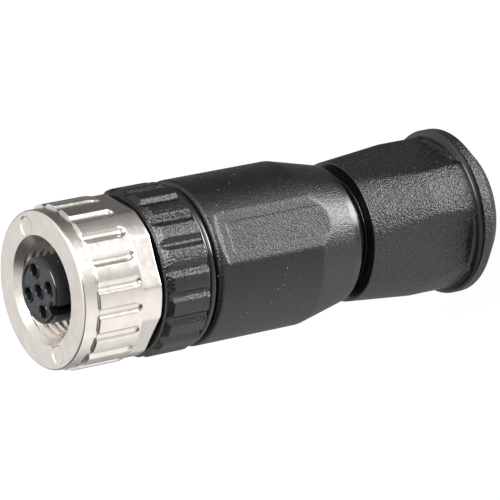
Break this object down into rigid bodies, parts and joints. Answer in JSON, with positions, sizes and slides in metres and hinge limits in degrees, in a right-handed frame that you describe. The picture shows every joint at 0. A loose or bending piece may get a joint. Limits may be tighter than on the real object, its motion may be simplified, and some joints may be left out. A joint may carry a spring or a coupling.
{
  "type": "m12 socket connector",
  "caption": "Straight round cable connector with a metal coupling nut, a keyed socket insert, a black housing sleeve and a rear pressing nut.",
  "frame": {"origin": "centre of the pressing nut's rear face, on which the connector stands", "axes": "+Z along the axis towards the mating end; +X towards the first contact"},
  "size_m": [0.0204, 0.0204, 0.0611],
  "materials": {
    "nickel_plated_metal": "satin",
    "spring_steel": "satin",
    "black_polyamide": "matte",
    "black_polyamide_coarse": "matte",
    "insert_plastic": "gloss",
    "sealing_rubber": "satin",
    "gold_plated_brass": "satin",
    "plated_steel": "satin"
  },
  "bodies": {
    "front": {"front_body": "black_polyamide", "contact_insert": "insert_plastic", "terminal_block": "insert_plastic", "nut_snap_ring": "spring_steel", "body_oring": "sealing_rubber", "contact_socket_1": "gold_plated_brass", "contact_socket_2": "gold_plated_brass", "contact_socket_3": "gold_plated_brass", "contact_socket_4": "gold_plated_brass", "contact_socket_5": "gold_plated_brass"},
    "gland_seal": {"gland_seal": "sealing_rubber"},
    "sleeve": {"sleeve": "black_polyamide"},
    "clamp_cage": {"clamp_cage": "black_polyamide"},
    "pressing_nut": {"pressing_nut": "black_polyamide_coarse"},
    "coupling_nut": {"coupling_nut": "nickel_plated_metal"},
    "clamp_screw_1": {"clamp_screw_1": "plated_steel"},
    "clamp_screw_2": {"clamp_screw_2": "plated_steel"},
    "clamp_screw_3": {"clamp_screw_3": "plated_steel"},
    "clamp_screw_4": {"clamp_screw_4": "plated_steel"},
    "clamp_screw_5": {"clamp_screw_5": "plated_steel"}
  },
  "joints": [
    {"name": "sleeve_travel", "type": "slide", "parent": "front", "child": "gland_seal", "axis": [0, 0, 1], "range_m": [-0.0028, 0]},
    {"name": "sleeve_turn", "type": "hinge", "parent": "gland_seal", "child": "sleeve", "pos_m": [0, 0, 0.031], "axis": [0, 0, 1], "range_deg": [-1008, 0]},
    {"name": "clamp_cage_travel", "type": "slide", "parent": "sleeve", "child": "clamp_cage", "axis": [0, 0, 1], "range_m": [-0.0034, 0.0016]},
    {"name": "pressing_nut_turn", "type": "hinge", "parent": "clamp_cage", "child": "pressing_nut", "pos_m": [0, 0, 0], "axis": [0, 0, 1], "range_deg": [-1224, 576]},
    {"name": "coupling_nut_spin", "type": "hinge", "parent": "front", "child": "coupling_nut", "pos_m": [0, 0, 0.051], "axis": [0, 0, 1], "continuous": true},
    {"name": "clamp_screw_1_travel", "type": "slide", "parent": "front", "child": "clamp_screw_1", "axis": [0.891, 0.454, 0], "range_m": [-0.0007, 0.0006]},
    {"name": "clamp_screw_2_travel", "type": "slide", "parent": "front", "child": "clamp_screw_2", "axis": [-0.1564, 0.9877, 0], "range_m": [-0.0007, 0.0006]},
    {"name": "clamp_screw_3_travel", "type": "slide", "parent": "front", "child": "clamp_screw_3", "axis": [-0.9877, 0.1564, 0], "range_m": [-0.0007, 0.0006]},
    {"name": "clamp_screw_4_travel", "type": "slide", "parent": "front", "child": "clamp_screw_4", "axis": [-0.454, -0.891, 0], "range_m": [-0.0007, 0.0006]},
    {"name": "clamp_screw_5_travel", "type": "slide", "parent": "front", "child": "clamp_screw_5", "axis": [0.7071, -0.7071, 0], "range_m": [-0.0007, 0.0006]}
  ],
  "couplings": [
    {"joint": "clamp_cage_travel", "follows": "pressing_nut_turn", "m_per_rad": 0.00015915},
    {"joint": "sleeve_travel", "follows": "sleeve_turn", "m_per_rad": 0.00015915}
  ]
}
